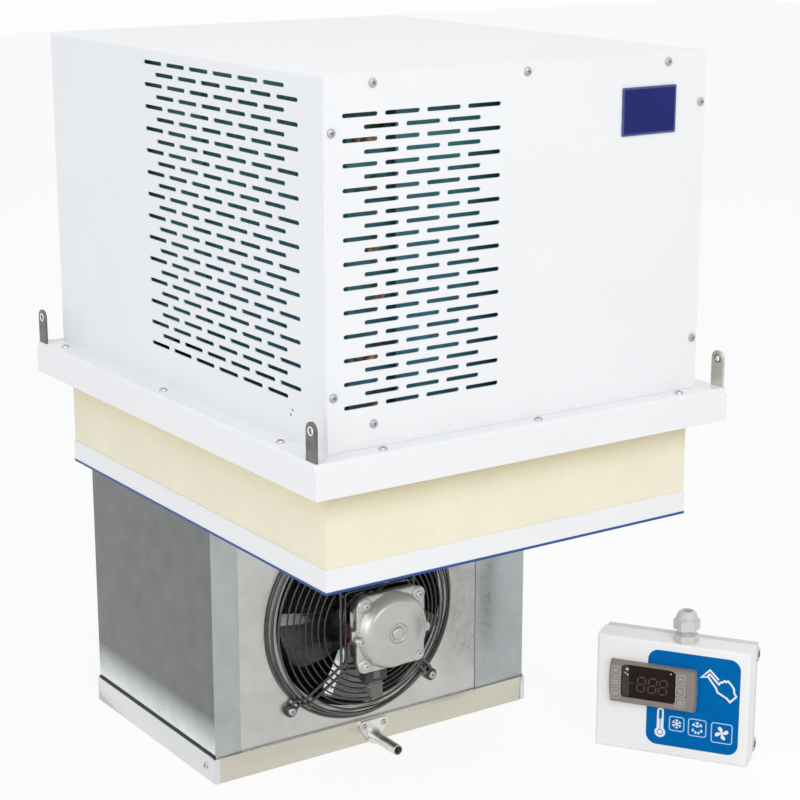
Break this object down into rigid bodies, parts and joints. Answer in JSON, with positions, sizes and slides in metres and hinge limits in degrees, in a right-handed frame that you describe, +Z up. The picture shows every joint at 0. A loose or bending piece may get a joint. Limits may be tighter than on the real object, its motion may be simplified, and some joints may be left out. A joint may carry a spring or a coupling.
{
  "type": "ceiling refrigeration unit",
  "caption": "Ceiling-mounted monoblock refrigeration unit: white slotted housing, insulated plug, evaporator with guarded fan and drain pan, and a remote control box.",
  "frame": {"origin": "middle of the ceiling face, which is the underside of the base flange's skirt", "axes": "+Z up, -Y towards the evaporator fan's side, -X towards the side with the air slots"},
  "size_m": [0.5677, 0.5934, 0.763],
  "materials": {
    "white_paint": "powder coat",
    "galvanised_steel": "zinc",
    "screw_steel": "satin",
    "badge_blue": "gloss print",
    "foam": "cut foam",
    "cast_aluminium": "die cast",
    "fin_aluminium": "mill",
    "copper": "drawn",
    "black_wire": "gloss coat",
    "dark_motor": "enamel",
    "grey_plastic": "moulded",
    "taupe_plastic": "moulded",
    "dark_window": "polished"
  },
  "bodies": {
    "unit": {"base_flange": "white_paint", "hood_shell": "white_paint", "front_panel": "white_paint", "rear_panel": "white_paint", "plug_tray": "white_paint", "lug_front_left": "galvanised_steel", "lug_front_right": "galvanised_steel", "lug_back_left": "galvanised_steel", "lug_back_right": "galvanised_steel", "chassis_angle": "galvanised_steel", "casing_left_side": "galvanised_steel", "casing_right_side": "galvanised_steel", "fan_plate": "galvanised_steel", "drain_pan": "galvanised_steel", "condenser_shroud": "galvanised_steel", "condenser_motor_bracket": "galvanised_steel", "compressor_mount": "galvanised_steel", "flange_screws": "screw_steel", "front_panel_screws": "screw_steel", "rear_panel_screws": "screw_steel", "pan_screws": "screw_steel", "spout_screws": "screw_steel", "guard_screws": "screw_steel", "evap_motor_screws": "screw_steel", "remote_screws": "screw_steel", "badge_plate": "badge_blue", "remote_label": "badge_blue", "insulation_plug": "foam", "evap_motor_cap": "cast_aluminium", "drain_spout": "cast_aluminium", "evaporator_coil": "fin_aluminium", "condenser_coil": "fin_aluminium", "suction_pipe": "copper", "liquid_pipe": "copper", "condenser_bends": "copper", "guard_rings": "black_wire", "guard_spokes": "black_wire", "evap_motor_stator": "dark_motor", "condenser_motor": "dark_motor", "compressor": "dark_motor", "evap_motor_connector": "dark_motor", "electrical_box": "grey_plastic", "remote_lid": "grey_plastic", "remote_back": "grey_plastic", "gland_body": "grey_plastic", "gland_nut": "grey_plastic", "gland_lock_nut": "grey_plastic", "controller_bezel": "taupe_plastic", "controller_body": "taupe_plastic", "controller_window": "dark_window"},
    "evap_fan": {"evap_fan_blades": "fin_aluminium", "evap_fan_shaft": "screw_steel"},
    "cond_fan": {"condenser_fan": "fin_aluminium"},
    "key_left_0_body": {"key_left_0": "taupe_plastic"},
    "key_left_1_body": {"key_left_1": "taupe_plastic"},
    "key_left_2_body": {"key_left_2": "taupe_plastic"},
    "key_right_0_body": {"key_right_0": "taupe_plastic"},
    "key_right_1_body": {"key_right_1": "taupe_plastic"},
    "key_right_2_body": {"key_right_2": "taupe_plastic"}
  },
  "joints": [
    {"name": "evap_fan_spin", "type": "hinge", "parent": "unit", "child": "evap_fan", "pos_m": [-0.02, -0.018, -0.238], "axis": [0, 1, 0], "continuous": true},
    {"name": "cond_fan_spin", "type": "hinge", "parent": "unit", "child": "cond_fan", "pos_m": [-0.0972, -0.08, 0.195], "axis": [1, 0, 0], "continuous": true},
    {"name": "key_left_0_press", "type": "slide", "parent": "unit", "child": "key_left_0_body", "axis": [0.829, 0.5592, 0], "range_m": [0, 0.0008], "stiffness_N_per_m": 600},
    {"name": "key_left_1_press", "type": "slide", "parent": "unit", "child": "key_left_1_body", "axis": [0.829, 0.5592, 0], "range_m": [0, 0.0008], "stiffness_N_per_m": 600},
    {"name": "key_left_2_press", "type": "slide", "parent": "unit", "child": "key_left_2_body", "axis": [0.829, 0.5592, 0], "range_m": [0, 0.0008], "stiffness_N_per_m": 600},
    {"name": "key_right_0_press", "type": "slide", "parent": "unit", "child": "key_right_0_body", "axis": [0.829, 0.5592, 0], "range_m": [0, 0.0008], "stiffness_N_per_m": 600},
    {"name": "key_right_1_press", "type": "slide", "parent": "unit", "child": "key_right_1_body", "axis": [0.829, 0.5592, 0], "range_m": [0, 0.0008], "stiffness_N_per_m": 600},
    {"name": "key_right_2_press", "type": "slide", "parent": "unit", "child": "key_right_2_body", "axis": [0.829, 0.5592, 0], "range_m": [0, 0.0008], "stiffness_N_per_m": 600}
  ]
}
